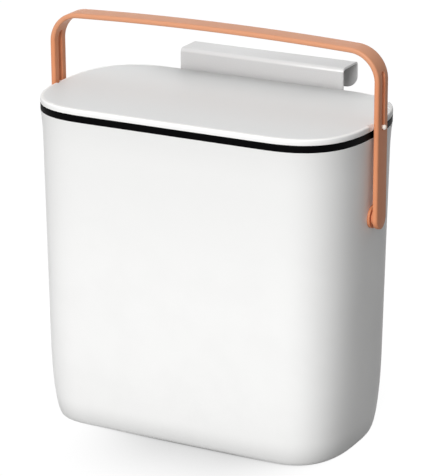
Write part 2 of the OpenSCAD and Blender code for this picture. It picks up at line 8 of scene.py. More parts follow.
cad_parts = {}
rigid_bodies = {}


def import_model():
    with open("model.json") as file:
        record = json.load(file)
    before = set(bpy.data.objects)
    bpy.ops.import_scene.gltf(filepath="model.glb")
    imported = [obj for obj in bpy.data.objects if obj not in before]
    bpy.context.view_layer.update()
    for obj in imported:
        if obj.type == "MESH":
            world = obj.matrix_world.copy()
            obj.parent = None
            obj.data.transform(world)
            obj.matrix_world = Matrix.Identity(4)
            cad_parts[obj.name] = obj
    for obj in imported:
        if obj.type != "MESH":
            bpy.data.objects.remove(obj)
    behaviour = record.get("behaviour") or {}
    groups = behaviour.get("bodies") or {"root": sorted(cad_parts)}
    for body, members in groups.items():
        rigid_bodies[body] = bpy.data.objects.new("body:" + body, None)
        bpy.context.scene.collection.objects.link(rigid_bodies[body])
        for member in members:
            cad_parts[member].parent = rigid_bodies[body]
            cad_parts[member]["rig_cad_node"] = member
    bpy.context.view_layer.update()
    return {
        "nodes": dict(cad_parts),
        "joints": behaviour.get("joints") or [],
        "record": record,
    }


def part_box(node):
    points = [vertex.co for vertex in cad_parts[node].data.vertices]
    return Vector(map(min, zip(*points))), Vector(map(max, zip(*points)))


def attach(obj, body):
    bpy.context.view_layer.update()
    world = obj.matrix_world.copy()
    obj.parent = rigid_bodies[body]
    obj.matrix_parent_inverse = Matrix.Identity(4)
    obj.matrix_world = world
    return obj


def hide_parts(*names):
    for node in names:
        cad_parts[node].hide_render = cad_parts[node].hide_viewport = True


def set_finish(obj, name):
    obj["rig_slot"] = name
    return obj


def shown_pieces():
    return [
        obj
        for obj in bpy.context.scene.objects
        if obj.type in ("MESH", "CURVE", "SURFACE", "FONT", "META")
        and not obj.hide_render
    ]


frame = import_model()
print("frame loaded:", len(frame["nodes"]), "nodes")


# Camera, at the fitted place

camera = {
    "azimuth": 27.65, "elevation": 18.09, "distance": 1.8217, "target": (0, 0, 0.15),
    "imageSize": (433, 476), "focalPixels": 2539.1, "centrePixel": (215.2, 223.0),
    "sensor": 36, "farthest": 20,
}


def aroundObject(azimuth, elevation, distance, target):
    # Place at a distance from the target; azimuth 0 is in front of it and 90 on its right
    a, e = math.radians(azimuth), math.radians(elevation)
    away = Vector((math.sin(a) * math.cos(e), -math.cos(a) * math.cos(e), math.sin(e)))
    return Vector(target) + distance * away


def makeCamera():
    # The lens and the shift put the focal length and the centre, both in pixels, on the sensor
    c = camera
    width, height = c["imageSize"]
    longSide = max(width, height)
    data = bpy.data.cameras.new("camera")
    data.sensor_width = c["sensor"]
    data.lens = c["focalPixels"] / longSide * data.sensor_width
    data.shift_x = (width / 2 - c["centrePixel"][0]) / longSide
    data.shift_y = (c["centrePixel"][1] - height / 2) / longSide
    data.clip_end = c["farthest"]
    obj = bpy.data.objects.new("camera", data)
    obj.location = aroundObject(c["azimuth"], c["elevation"], c["distance"], c["target"])
    obj.rotation_euler = (Vector(c["target"]) - obj.location).to_track_quat("-Z", "Y").to_euler()
    bpy.context.scene.collection.objects.link(obj)
    bpy.context.scene.camera = obj


makeCamera()
print("camera made")


# Mesh tools

cutPast = 0.001  # how far a cutting tool runs past the face that it opens


def meshPiece(name, points, polygons):
    # Object at the origin from an array of points and lists or arrays of corner numbers
    mesh = bpy.data.meshes.new(name)
    flat = np.asarray(points, float).reshape(-1, 3)
    mesh.vertices.add(len(flat))
    mesh.vertices.foreach_set("co", flat.ravel())
    blocks = [np.atleast_2d(np.asarray(p)) for p in polygons]
    sizes = np.concatenate([np.full(len(b), b.shape[1]) for b in blocks])
    corners = np.concatenate([b.ravel() for b in blocks])
    mesh.loops.add(len(corners))
    mesh.loops.foreach_set("vertex_index", corners)
    mesh.polygons.add(len(sizes))
    mesh.polygons.foreach_set("loop_start", np.concatenate([[0], np.cumsum(sizes)[:-1]]))
    mesh.update(calc_edges=True)
    mesh.validate()
    obj = bpy.data.objects.new(name, mesh)
    bpy.context.scene.collection.objects.link(obj)
    return obj


def gridPiece(name, grid, closeRows=False):
    # Rows of points, each row a closed ring; the rows close on themselves or end in flat caps
    rows, columns = grid.shape[:2]
    index = np.arange(rows * columns).reshape(rows, columns)
    low = index if closeRows else index[:-1]
    high = np.roll(index, -1, 0) if closeRows else index[1:]
    quads = np.stack([low, np.roll(low, -1, 1), np.roll(high, -1, 1), high], -1).reshape(-1, 4)
    caps = [] if closeRows else [index[0][::-1], index[-1]]
    return meshPiece(name, grid, [quads, *caps])


def outwards(obj):
    # Turns a closed mesh so that its volume, the sum of a . (b x c) over its triangles, is positive
    mesh = obj.data
    mesh.calc_loop_triangles()
    tris = np.zeros(len(mesh.loop_triangles) * 3, np.int32)
    mesh.loop_triangles.foreach_get("vertices", tris)
    points = np.zeros(len(mesh.vertices) * 3)
    mesh.vertices.foreach_get("co", points)
    a, b, c = points.reshape(-1, 3)[tris.reshape(-1, 3)].transpose(1, 0, 2)
    if np.einsum("ij,ij->i", a, np.cross(b, c)).sum() < 0:
        mesh.flip_normals()
    return obj


def prism(name, profile, axis, start, end):
    # Profile in the two other axes, in order, drawn along an axis between two places
    profile = np.asarray(profile, float)
    ends = np.stack([np.insert(profile, axis, v, 1) for v in sorted((start, end))])
    return outwards(gridPiece(name, ends))


def circlePoints(centre, radius, steps):
    # centre + radius * (cos t, sin t), once round
    t = np.linspace(0, 2 * np.pi, steps, endpoint=False)
    return np.stack([centre[0] + radius * np.cos(t), centre[1] + radius * np.sin(t)], 1)


def arcPoints(centre, radius, start, end, steps):
    # centre + radius * (cos t, sin t), between two angles in degrees
    t = np.radians(np.linspace(start, end, steps + 1))
    return np.stack([centre[0] + radius * np.cos(t), centre[1] + radius * np.sin(t)], 1)


def rod(name, axis, centre, radius, start, end, steps=64):
    # Cylinder along an axis; centre is its place in the two other axes
    return prism(name, circlePoints(centre, radius, steps), axis, start, end)


def cone(name, place, narrow, wide, low, high, steps):
    # Cone along the depth that widens to its far end, and runs on from there at that width
    rings = [np.insert(circlePoints(place, radius, steps), 1, y, 1)
             for radius, y in ((narrow, low), (wide, high), (wide, high + cutPast))]
    return outwards(gridPiece(name, np.stack(rings)))


def settle(piece):
    # Writes the modifiers into the mesh
    seen = piece.evaluated_get(bpy.context.evaluated_depsgraph_get())
    mesh = bpy.data.meshes.new_from_object(seen)
    piece.modifiers.clear()
    piece.data = mesh


def carve(piece, operation, *tools):
    # Joins the tools to the piece, or cuts them out of it, and deletes them
    for tool in tools:
        step = piece.modifiers.new("carve", "BOOLEAN")
        step.operation = operation
        step.solver = "EXACT"
        step.object = tool
    settle(piece)
    for tool in tools:
        bpy.data.objects.remove(tool)
    return piece


def smooth(piece, sharpAngle=32):
    piece.data.shade_smooth()
    piece.data.set_sharp_from_angle(angle=math.radians(sharpAngle))
    return piece


def turnAboutX(piece, degrees, place):
    # Turns a piece's mesh about an axis along X through a place
    there = Matrix.Translation(place)
    piece.data.transform(there @ Matrix.Rotation(math.radians(degrees), 4, "X") @ there.inverted())
    return piece


# Outline of the caddy: straight front and back, superelliptic ends

rim = {
    "width": 2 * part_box("bag_ring")[1].x, "depth": 2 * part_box("bag_ring")[1].y,
    "end": 0.057, "power": 2.7, "endSteps": 36, "sideSteps": 24, "ringHeight": 0.0048,
}


def outlineRings(width, depth, end, height):
    # At each height, an end is x = end * sin^(2/n), y = depth/2 * cos^(2/n), for t from 0 to 90 degrees
    width, depth, end, height = np.broadcast_arrays(
        *[np.atleast_1d(v).astype(float) for v in (width, depth, end, height)])
    t = np.linspace(0, np.pi / 2, rim["endSteps"] + 1)
    out = np.sin(t) ** (2 / rim["power"])
    back = np.abs(np.cos(t)) ** (2 / rim["power"])
    middle = (width / 2 - end)[:, None]
    x = middle + end[:, None] * out
    y = depth[:, None] / 2 * back
    side = np.linspace(1, -1, rim["sideSteps"] + 2)[1:-1] * middle
    edge = np.repeat(depth[:, None] / 2, side.shape[1], 1)
    ring = np.concatenate([
        np.stack([x, -y], -1), np.stack([x, y], -1)[:, -2::-1],
        np.stack([side, edge], -1),
        np.stack([-x, y], -1), np.stack([-x, -y], -1)[:, -2::-1],
        np.stack([-side, -edge], -1)], 1)
    z = np.repeat(height[:, None], ring.shape[1], 1)
    return np.concatenate([ring, z[..., None]], -1)


def rimRings(inset, height):
    # Rings of the rim's outline, drawn in by an inset at each height
    inset = np.asarray(inset, float)
    return outlineRings(rim["width"] - 2 * inset, rim["depth"] - 2 * inset, rim["end"] - inset, height)


# Bucket

bucket = {
    "baseZ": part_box("bucket")[0].z, "rimZ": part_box("bag_ring")[1].z - rim["ringHeight"],
    "sideDraft": 0.0044, "faceDraft": 0.003, "baseEnd": 0.0455,
    "flareHeight": 0.025, "flare": 0.0015, "roundHeight": 0.057, "roundIn": 0.0062,
    "wall": 0.0022, "floor": 0.0026, "rimEase": 0.0003,
    "roundSteps": 30, "wallSteps": 24, "flareSteps": 10,
    "bossRadius": 0.0105, "bossSink": 0.0005, "bushProud": 0.0003, "flangeThick": 0.002, "seatGap": 0.00035,
    "screwX": 0.045, "screwDrop": 0.034, "screwStep": 0.032, "screwBoss": 0.0055,
    "ribThick": 0.002, "ribReach": 0.004, "padGap": 0.00005, "padSteps": 32,
}
flareZ = bucket["rimZ"] - bucket["flareHeight"]
pivotZ = (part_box("pivot_bush_left")[0].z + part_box("pivot_bush_left")[1].z) / 2
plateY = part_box("hanger_bracket")[0].y


def bucketShape(z):
    # How far the ends and the faces stand in from the rim at a height, and how long an end's curve is.
    # Both have flare * (1 - s^2), for s from 0 at the flare's foot to 1 at the rim, and a draft below it.
    b = bucket
    flare = b["flare"] * (1 - np.clip((z - flareZ) / b["flareHeight"], 0, 1) ** 2)
    drop = np.clip((flareZ - z) / flareZ, 0, None)
    end = rim["end"] - flare - (rim["end"] - b["flare"] - b["baseEnd"]) * drop
    return flare + b["sideDraft"] * drop, flare + b["faceDraft"] * drop, end


def bucketRings(z, inset):
    # Rings of the bucket's own outline: the rim's, drawn in by the flare, the draft and an inset
    ends, faces, end = bucketShape(z)
    return outlineRings(rim["width"] - 2 * (ends + inset), rim["depth"] - 2 * (faces + inset), end - inset, z)


def backY(x, z):
    # Depth of the bucket's back wall: depth/2 * (1 - u^n)^(1/n), for u from 0 to 1 along an end's curve
    ends, faces, end = bucketShape(z)
    u = np.clip((abs(x) - (rim["width"] / 2 - ends - end)) / end, 0, 1)
    return (rim["depth"] / 2 - faces) * (1 - u ** rim["power"]) ** (1 / rim["power"])


def wallRows(bottom, inset):
    # Heights and insets up one face of the wall: a quarter ellipse, the drafted wall and the flare
    b = bucket
    roundZ = b["baseZ"] + b["roundHeight"]
    a = np.linspace(np.pi / 2, 0, b["roundSteps"] + 1)
    z = np.concatenate([
        bottom + (roundZ - bottom) * (1 - np.sin(a)),
        np.linspace(roundZ, flareZ, b["wallSteps"] + 1)[1:],
        np.linspace(flareZ, b["rimZ"], b["flareSteps"] + 1)[1:]])
    extra = np.zeros_like(z)
    extra[:len(a)] = b["roundIn"] * (1 - np.cos(a))
    return z, inset + extra


def bucketSkin():
    # One closed skin: rings up the outside, over the lip and down the inside
    b = bucket
    outZ, outIn = wallRows(b["baseZ"], 0)
    inZ, inIn = wallRows(b["baseZ"] + b["floor"], b["wall"])
    ease = b["rimEase"]
    outZ[-1] -= ease
    inZ[-1] -= ease
    z = np.concatenate([outZ, [b["rimZ"], b["rimZ"]], inZ[::-1]])
    inset = np.concatenate([outIn, [ease, b["wall"] - ease], inIn[::-1]])
    return gridPiece("caddyBucket", bucketRings(z, inset))


def pivotBoss(side):
    # Boss on the inside of the wall round the bush, and the spot face outside that the bush's flange seats on
    b = bucket
    low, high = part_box("pivot_bush_right")
    spotX = high.x - b["flangeThick"]
    boss = rod("boss", 0, (0, pivotZ), b["bossRadius"], side * (low.x + b["bushProud"]),
               side * (spotX - b["bossSink"]))
    spot = rod("spot", 0, (0, pivotZ), (high - low).z / 2 + b["seatGap"], side * spotX,
               side * rim["width"] / 2)
    return boss, spot


def hookMounts(side):
    # Two screw bosses out to the hook's plate, and an upright rib through them that the plate bears on
    b = bucket
    high = b["rimZ"] - b["screwDrop"]
    low = high - b["screwStep"]
    within = b["wall"] / 2
    made = [rod("screwBoss", 1, (side * b["screwX"], z), b["screwBoss"], backY(0, low) - within, plateY)
            for z in (low, high)]
    ribLow, ribHigh = low - b["screwBoss"] - b["ribReach"], high + b["screwBoss"] + b["ribReach"]
    rib = [[backY(0, ribLow) - within, ribLow], [plateY, ribLow], [plateY, ribHigh],
           [backY(0, ribHigh) - within, ribHigh]]
    made.append(prism("rib", rib, 0, side * b["screwX"] - b["ribThick"] / 2,
                      side * b["screwX"] + b["ribThick"] / 2))
    return made


def padPocket():
    # Pocket for the base pad: two half circles and the straight edges between them, a gap wider than the pad
    b = bucket
    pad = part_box("base_pad")[1]
    radius, x, steps = pad.y + b["padGap"], pad.x - pad.y, b["padSteps"]
    outline = np.concatenate([arcPoints((x, 0), radius, -90, 90, steps),
                              arcPoints((-x, 0), radius, 90, 270, steps)])
    return prism("pocket", outline, 2, b["baseZ"] - cutPast, pad.z)


def makeBucket():
    piece = bucketSkin()
    added, cut = [], []
    for side in (-1, 1):
        boss, spot = pivotBoss(side)
        added.extend([boss, *hookMounts(side), *bucketKnuckles(side)])
        cut.append(spot)
    cut.append(padPocket())
    carve(piece, "UNION", *added)
    carve(piece, "DIFFERENCE", *cut)
    smooth(piece)
    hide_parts("bucket")
    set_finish(piece, "white_shell")
    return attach(piece, "caddy")


# Hinges, beside the hook: two knuckles of the bucket round one of the lid, on a steel pin

lidJoint = next(joint for joint in frame["joints"] if joint["name"] == "lid_hinge")
hinge = {
    "y": lidJoint["pos_m"][1], "z": lidJoint["pos_m"][2], "radius": 0.0025,
    "lidLength": 0.0094, "bucketLength": 0.0045, "gap": 0.00035, "steps": 32,
    "webLow": 0.016, "webTop": 0.0004, "webRear": 0.002, "inside": 0.0001,
}
hingeX = (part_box("hinge_pin_right")[0].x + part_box("hinge_pin_right")[1].x) / 2


def bucketKnuckles(side):
    # Each knuckle stands on a web, whose profile runs from the wall out to both sides of the pin
    h, rimZ = hinge, bucket["rimZ"]
    near = h["lidLength"] / 2 + h["gap"]
    lowZ, topZ, rearZ = rimZ - h["webLow"], rimZ - h["webTop"], rimZ - h["webRear"]
    faceY, rearY = h["y"] - h["radius"] + h["inside"], h["y"] + h["radius"] - h["inside"]
    made = []
    for start in (hingeX - near - h["bucketLength"], hingeX + near):
        end = start + h["bucketLength"]
        within = bucket["wall"] / 2
        web = [[faceY, h["z"]], [rearY, h["z"]], [rearY, rearZ],
               [backY(end, lowZ) - within, lowZ], [backY(end, rimZ) - within, topZ], [faceY, topZ]]
        made.append(rod("knuckle", 0, (h["y"], h["z"]), h["radius"], side * start, side * end, h["steps"]))
        made.append(prism("web", web, 0, side * start, side * end))
    return made


caddyBucket = makeBucket()
print("bucket made:", len(caddyBucket.data.polygons), "faces")


# Sizes of the lid and the handle, which the ring's notches and the lid's scoops depend on

lid = {
    "height": 0.0043, "edge": 0.0032, "topThick": 0.002, "round": 0.0011, "roundSteps": 10,
    "ease": 0.0004, "easeStep": 0.0001, "earRadius": 0.0025, "earLength": 0.0056, "earShort": 0.0005,
    "pinRadius": 0.00155, "earSteps": 48, "blockInto": 0.0002,
    "open": lidJoint["range_deg"][1], "scoopHalf": 0.0115, "scoopGap": 0.00035, "scoopSteps": 256,
}
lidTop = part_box("lid_shell")[1].z
lidLow = lidTop - lid["height"]
pinZ = (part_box("lid_pin_right")[0].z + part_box("lid_pin_right")[1].z) / 2

strap = {
    "width": 0.0166, "thick": 0.0038, "round": 0.0016, "roundShare": 0.9, "gap": 0.0012, "rise": 0.0645,
    "corner": 0.0212, "tilt": 2.5, "lean": 0.6, "tipStart": 4,
    "slotWidth": 0.005, "slotEase": 0.0005, "slotDepth": 0.0085, "stud": 0.0045, "shoulder": 0.006,
    "turnGap": 0.00035, "cornerSteps": 40, "gripSteps": 48, "armSteps": 44, "tipSteps": 20, "roundSteps": 6,
    "slotSteps": 24, "studSteps": 48,
}
strapMid = rim["width"] / 2 + strap["gap"] + strap["thick"] / 2
gripZ = bucket["rimZ"] + strap["rise"] - strap["thick"] / 2
cornerX = strapMid - strap["corner"]
archRadius = cornerX / math.sin(math.radians(strap["tilt"])) + strap["corner"]
cornerZ = gripZ - archRadius + (archRadius - strap["corner"]) * math.cos(math.radians(strap["tilt"]))


def openPin():
    # Turns the lid's pin about the hinge to the open lid: how far it has climbed its slot from the pivot,
    # and how far the strap leans forward as seen from the lid
    turn = math.radians(lid["open"])
    y, z = -hinge["y"], pinZ - hinge["z"]
    pinY = hinge["y"] + y * math.cos(turn) + z * math.sin(turn)
    up = hinge["z"] - y * math.sin(turn) + z * math.cos(turn) - pivotZ
    return math.hypot(pinY, up) - (pinZ - pivotZ), lid["open"] - math.degrees(math.atan2(pinY, up))


pinClimb, openTilt = openPin()


# Bag ring: a band on the rim, with a skirt inside the bucket that traps the bag

bagRing = {
    "ease": 0.0005, "seatEase": 0.0002, "skirtEase": 0.0003, "skirtThick": 0.0016, "skirtOut": 0.0041,
    "steps": 4, "notchGap": 0.0006,
}


def easedSection(corners, radii, steps):
    # Closed section; each corner c is the curve (1-t)^2 a + 2t(1-t) c + t^2 b, from a to b a radius away
    corners = np.asarray(corners, float)
    points = []
    for i, radius in enumerate(radii):
        here, before, after = corners[i], corners[i - 1], corners[(i + 1) % len(corners)]
        if radius == 0:
            points.append(here[None])
            continue
        a = here + (before - here) / np.linalg.norm(before - here) * radius
        b = here + (after - here) / np.linalg.norm(after - here) * radius
        t = np.linspace(0, 1, steps + 1)[:, None]
        points.append((1 - t) ** 2 * a + 2 * t * (1 - t) * here + t ** 2 * b)
    return np.concatenate(points)


def uprightBand(half, low, high):
    # Rectangle over both sides of the middle, between two heights
    return [[-half, low], [half, low], [half, high], [-half, high]]


def makeBagRing():
    # Section of insets and heights, up the outside and down the skirt, carried round the rim's outline
    r = bagRing
    low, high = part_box("bag_ring")
    inner = r["skirtOut"] + r["skirtThick"]
    corners = [[0, bucket["rimZ"]], [0, high.z], [inner, high.z], [inner, low.z],
               [r["skirtOut"], low.z], [r["skirtOut"], bucket["rimZ"]]]
    radii = [r["seatEase"], r["ease"], r["ease"], r["skirtEase"], r["ease"], 0]
    section = easedSection(corners, radii, r["steps"])
    piece = outwards(gridPiece("bagRing", rimRings(section[:, 0], section[:, 1]), closeRows=True))
    notchZ = pinZ - lid["earRadius"] - r["notchGap"] / 2
    notch = uprightBand(lid["earRadius"] + r["notchGap"], notchZ, high.z + cutPast)
    for side in (-1, 1):
        carve(piece, "DIFFERENCE", prism("notch", notch, 0, side * (rim["width"] / 2 - inner - cutPast),
                                         side * (rim["width"] / 2 + cutPast)))
    smooth(piece)
    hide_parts("bag_ring")
    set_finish(piece, "black_ring")
    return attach(piece, "caddy")


makeBagRing()
print("bag ring made")


# Lid

def makeLid():
    # Rings from the hollow underside out to the edge, and over a quarter circle to the flat top
    d = lid
    t = np.linspace(0, np.pi / 2, d["roundSteps"] + 1)
    inset = np.concatenate([
        [d["edge"], d["edge"], d["ease"], d["easeStep"], 0], d["round"] * (1 - np.cos(t))])
    z = np.concatenate([
        [lidTop - d["topThick"], lidLow, lidLow, lidLow + d["easeStep"], lidLow + d["ease"]],
        lidTop - d["round"] * (1 - np.sin(t))])
    piece = gridPiece("lidPanel", rimRings(inset, z))
    end = rim["width"] / 2
    block = uprightBand(d["scoopHalf"] + d["edge"], lidLow, lidTop - d["topThick"] + d["blockInto"])
    added, cut = [], []
    for side in (-1, 1):
        added.append(rod("ear", 0, (0, pinZ), d["earRadius"], side * (end - d["earLength"]),
                         side * (end - d["earShort"]), d["earSteps"]))
        added.extend(lidKnuckle(side))
        added.append(prism("block", block, 0, side * (end - d["earLength"]), side * (end - d["edge"] / 2)))
        cut.append(rod("bore", 0, (0, pinZ), d["pinRadius"], side * (end - d["earLength"] - cutPast),
                       side * (end + cutPast), d["earSteps"]))
        cut.append(lidScoop(side))
    carve(piece, "UNION", *added)
    carve(piece, "DIFFERENCE", *cut)
    smooth(piece)
    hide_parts("lid_shell")
    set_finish(piece, "white_lid")
    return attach(piece, "lid")


def lidKnuckle(side):
    # The knuckle between the bucket's two, and a web from it to the lid's rear edge
    h = hinge
    near, far = hingeX - h["lidLength"] / 2, hingeX + h["lidLength"] / 2
    rootY = backY(far, bucket["rimZ"]) - lid["edge"] / 2
    web = [[rootY, lidLow], [h["y"], lidLow], [h["y"], h["z"] + h["radius"] - h["inside"]],
           [rootY, lidTop - lid["round"]]]
    return [rod("knuckle", 0, (h["y"], h["z"]), h["radius"], side * near, side * far, h["steps"]),
            prism("web", web, 0, side * near, side * far)]


def lidScoop(side):
    # What the lid's end loses to a gap inside the handle's corner, as the corner stands over the open lid
    half = lid["scoopHalf"]
    block = prism("scoop", uprightBand(half, lidLow - lid["earRadius"], lidTop + cutPast), 0,
                  side * cornerX, side * (rim["width"] / 2 + cutPast))
    above = pinZ + pinClimb - cornerZ
    radius = strap["corner"] - strap["thick"] / 2 - lid["scoopGap"]
    corner = rod("corner", 1, (side * cornerX, pinZ - above), radius, -2 * half, 2 * half, lid["scoopSteps"])
    return carve(block, "DIFFERENCE", turnAboutX(corner, openTilt, (0, 0, pinZ)))


makeLid()
print("lid made")


# Handle: a strap bent round two corners, with a slot in each arm and studs that turn in the bushes

def strapPath():
    # Across, height, lean of the normal and half width, from tip to tip: a round tip, the straight arm, the
    # corner's arc and the grip's wide arc up to the middle, and the same again mirrored
    s = strap
    tilt, half = math.radians(s["tilt"]), s["width"] / 2
    tip = np.linspace(math.radians(s["tipStart"]), np.pi / 2, s["tipSteps"] + 1)
    arm = np.linspace(pivotZ, cornerZ, s["armSteps"] + 2)[1:-1]
    bend = np.linspace(np.pi / 2, tilt, s["cornerSteps"] + 1)
    arch = np.linspace(tilt, 0, s["gripSteps"] // 2 + 1)[1:]
    straight = len(tip) + len(arm)
    x = np.concatenate([np.full(straight, strapMid), cornerX + s["corner"] * np.sin(bend),
                        archRadius * np.sin(arch)])
    z = np.concatenate([pivotZ - half * np.cos(tip), arm, cornerZ + s["corner"] * np.cos(bend),
                        gripZ - archRadius + archRadius * np.cos(arch)])
    lean = np.concatenate([np.full(straight, np.pi / 2), bend, arch])
    halfWidth = np.concatenate([half * np.sin(tip), np.full(len(arm) + len(bend) + len(arch), half)])
    right = np.stack([x, z, lean, halfWidth], 1)
    left = right * [-1, 1, -1, 1]
    return np.concatenate([left, right[-2::-1]])


def strapSkin():
    # Rounded rectangle, four quarter circles and the straight edges between them, square to the path
    s = strap
    path = strapPath()
    r = np.minimum(s["round"], path[:, 3] * s["roundShare"])[:, None]
    u, v = s["thick"] / 2 - r, path[:, 3:4] - r
    t = np.linspace(0, np.pi / 2, s["roundSteps"] + 1)[None]
    out, across = np.cos(t), np.sin(t)
    section = np.concatenate([
        np.stack([u + r * out, v + r * across], -1), np.stack([-u - r * across, v + r * out], -1),
        np.stack([-u - r * out, -v - r * across], -1), np.stack([u + r * across, -v - r * out], -1)], 1)
    x, z, lean = path[:, 0:1], path[:, 1:2], path[:, 2:3]
    grid = np.stack([x + section[..., 0] * np.sin(lean), section[..., 1],
                     z + section[..., 0] * np.cos(lean)], -1)
    return outwards(gridPiece("strapHandle", grid))


def makeHandle():
    # The slots are two half circles and the straight edges between them; the studs stand inside the arms
    s = strap
    piece = strapSkin()
    slotLow = pinZ + s["slotEase"]
    slotHigh = slotLow + pinClimb
    slot = np.concatenate([arcPoints((0, slotHigh), s["slotWidth"] / 2, 0, 180, s["slotSteps"]),
                           arcPoints((0, slotLow), s["slotWidth"] / 2, 180, 360, s["slotSteps"])])
    outX = strapMid + s["thick"] / 2
    bushLow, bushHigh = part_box("pivot_bush_right")
    added, cut = [], []
    for side in (-1, 1):
        cut.append(prism("slot", slot, 0, side * (outX - s["slotDepth"]), side * (outX + cutPast)))
        for radius, start in ((s["stud"], bushLow.x - s["turnGap"]),
                              (s["shoulder"], bushHigh.x + s["turnGap"])):
            added.append(rod("stud", 0, (0, pivotZ), radius, side * start, side * strapMid, s["studSteps"]))
    carve(piece, "DIFFERENCE", *cut)
    carve(piece, "UNION", *added)
    smooth(turnAboutX(piece, s["lean"], (0, 0, pivotZ)))
    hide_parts("handle")
    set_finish(piece, "orange_strap")
    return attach(piece, "handle")


makeHandle()
print("handle made")


# Door hook: a sheet bent over the top of a door

hook = {
    "sheet": 0.0016, "bend": 0.0034, "bendSteps": 20, "flangeDrop": 0.02, "corner": 0.0085, "cornerSteps": 16,
    "screwRadius": 0.00175, "headRadius": 0.00325, "headDepth": 0.0015, "holeSteps": 32,
    "ease": 0.00025, "easeSteps": 2, "easeAngle": 50,
}


def hookSheet():
    # Profile up the plate's outside, over two quarter circles, down the flange, and back along the inside
    k = hook
    low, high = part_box("hanger_bracket")
    outer, inner, bendZ, steps = k["bend"], k["bend"] - k["sheet"], high.z - k["bend"], k["bendSteps"]
    plateBend, flangeBend = (low.y + outer, bendZ), (high.y - outer, bendZ)
    flangeZ = high.z - k["flangeDrop"]
    profile = np.concatenate([
        [[low.y, low.z]], arcPoints(plateBend, outer, 180, 90, steps),
        arcPoints(flangeBend, outer, 90, 0, steps), [[high.y, flangeZ], [high.y - k["sheet"], flangeZ]],
        arcPoints(flangeBend, inner, 0, 90, steps), arcPoints(plateBend, inner, 90, 180, steps),
        [[low.y + k["sheet"], low.z]]])
    return prism("doorHook", profile, 0, -high.x, high.x)


def cornerTool(side, z, start, end):
    # What lies outside a quarter circle at a lower corner of the sheet
    k = hook
    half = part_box("hanger_bracket")[1].x
    x, up, over = half - k["corner"], z + k["corner"], cutPast
    arc = arcPoints((x, up), k["corner"], 0, -90, k["cornerSteps"])
    shape = np.concatenate([arc, [[x, z - over], [half + over, z - over], [half + over, up]]])
    return prism("corner", shape * [side, 1], 1, start - over, end + over)


def makeHook():
    # The sheet loses its lower corners and the countersunk holes, and its edges are eased
    k = hook
    piece = hookSheet()
    low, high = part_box("hanger_bracket")
    plateFar, flangeNear = low.y + k["sheet"], high.y - k["sheet"]
    cut = []
    for side in (-1, 1):
        cut.append(cornerTool(side, low.z, low.y, plateFar))
        cut.append(cornerTool(side, high.z - k["flangeDrop"], flangeNear, high.y))
        for drop in (bucket["screwDrop"], bucket["screwDrop"] + bucket["screwStep"]):
            place = (side * bucket["screwX"], bucket["rimZ"] - drop)
            cut.append(rod("hole", 1, place, k["screwRadius"], low.y - cutPast, plateFar + cutPast,
                           k["holeSteps"]))
            cut.append(cone("sink", place, k["screwRadius"], k["headRadius"], plateFar - k["headDepth"],
                            plateFar, k["holeSteps"]))
    carve(piece, "DIFFERENCE", *cut)
    ease = piece.modifiers.new("ease", "BEVEL")
    ease.width, ease.segments = k["ease"], k["easeSteps"]
    ease.limit_method, ease.angle_limit = "ANGLE", math.radians(k["easeAngle"])
    settle(piece)
    smooth(piece)
    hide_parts("hanger_bracket")
    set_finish(piece, "hook_coat")
    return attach(piece, "caddy")


makeHook()
print("hook made")


# Materials

def shown(red, green, blue):
    # Linear colour of a display colour, from 0 to 255
    c = np.array([red, green, blue]) / 255
    return (*np.where(c <= 0.04045, c / 12.92, ((c + 0.055) / 1.055) ** 2.4).tolist(), 1.0)


class Value:
    # A node's output; arithmetic on it adds Math nodes
    def __init__(self, shader, socket):
        self.shader, self.socket = shader, socket

    def math(self, operation, *others):
        return self.shader.add("ShaderNodeMath", {"operation": operation}, dict(enumerate((self, *others))))

    def __add__(self, other):
        return self.math("ADD", other)

    def __sub__(self, other):
        return self.math("SUBTRACT", other)

    def __rsub__(self, other):
        return (self * -1) + other

    def __mul__(self, other):
        return self.math("MULTIPLY", other)

    def __truediv__(self, other):
        return self.math("DIVIDE", other)

    def __pow__(self, other):
        return self.math("POWER", other)

    def __abs__(self):
        return self.math("ABSOLUTE")

    __radd__, __rmul__ = __add__, __mul__

    def between(self, low, high):
        # 0 below low, 1 above high, and smooth between them
        return self.shader.add("ShaderNodeMapRange", {"interpolation_type": "SMOOTHSTEP"},
                               {"Value": self, "From Min": low, "From Max": high})


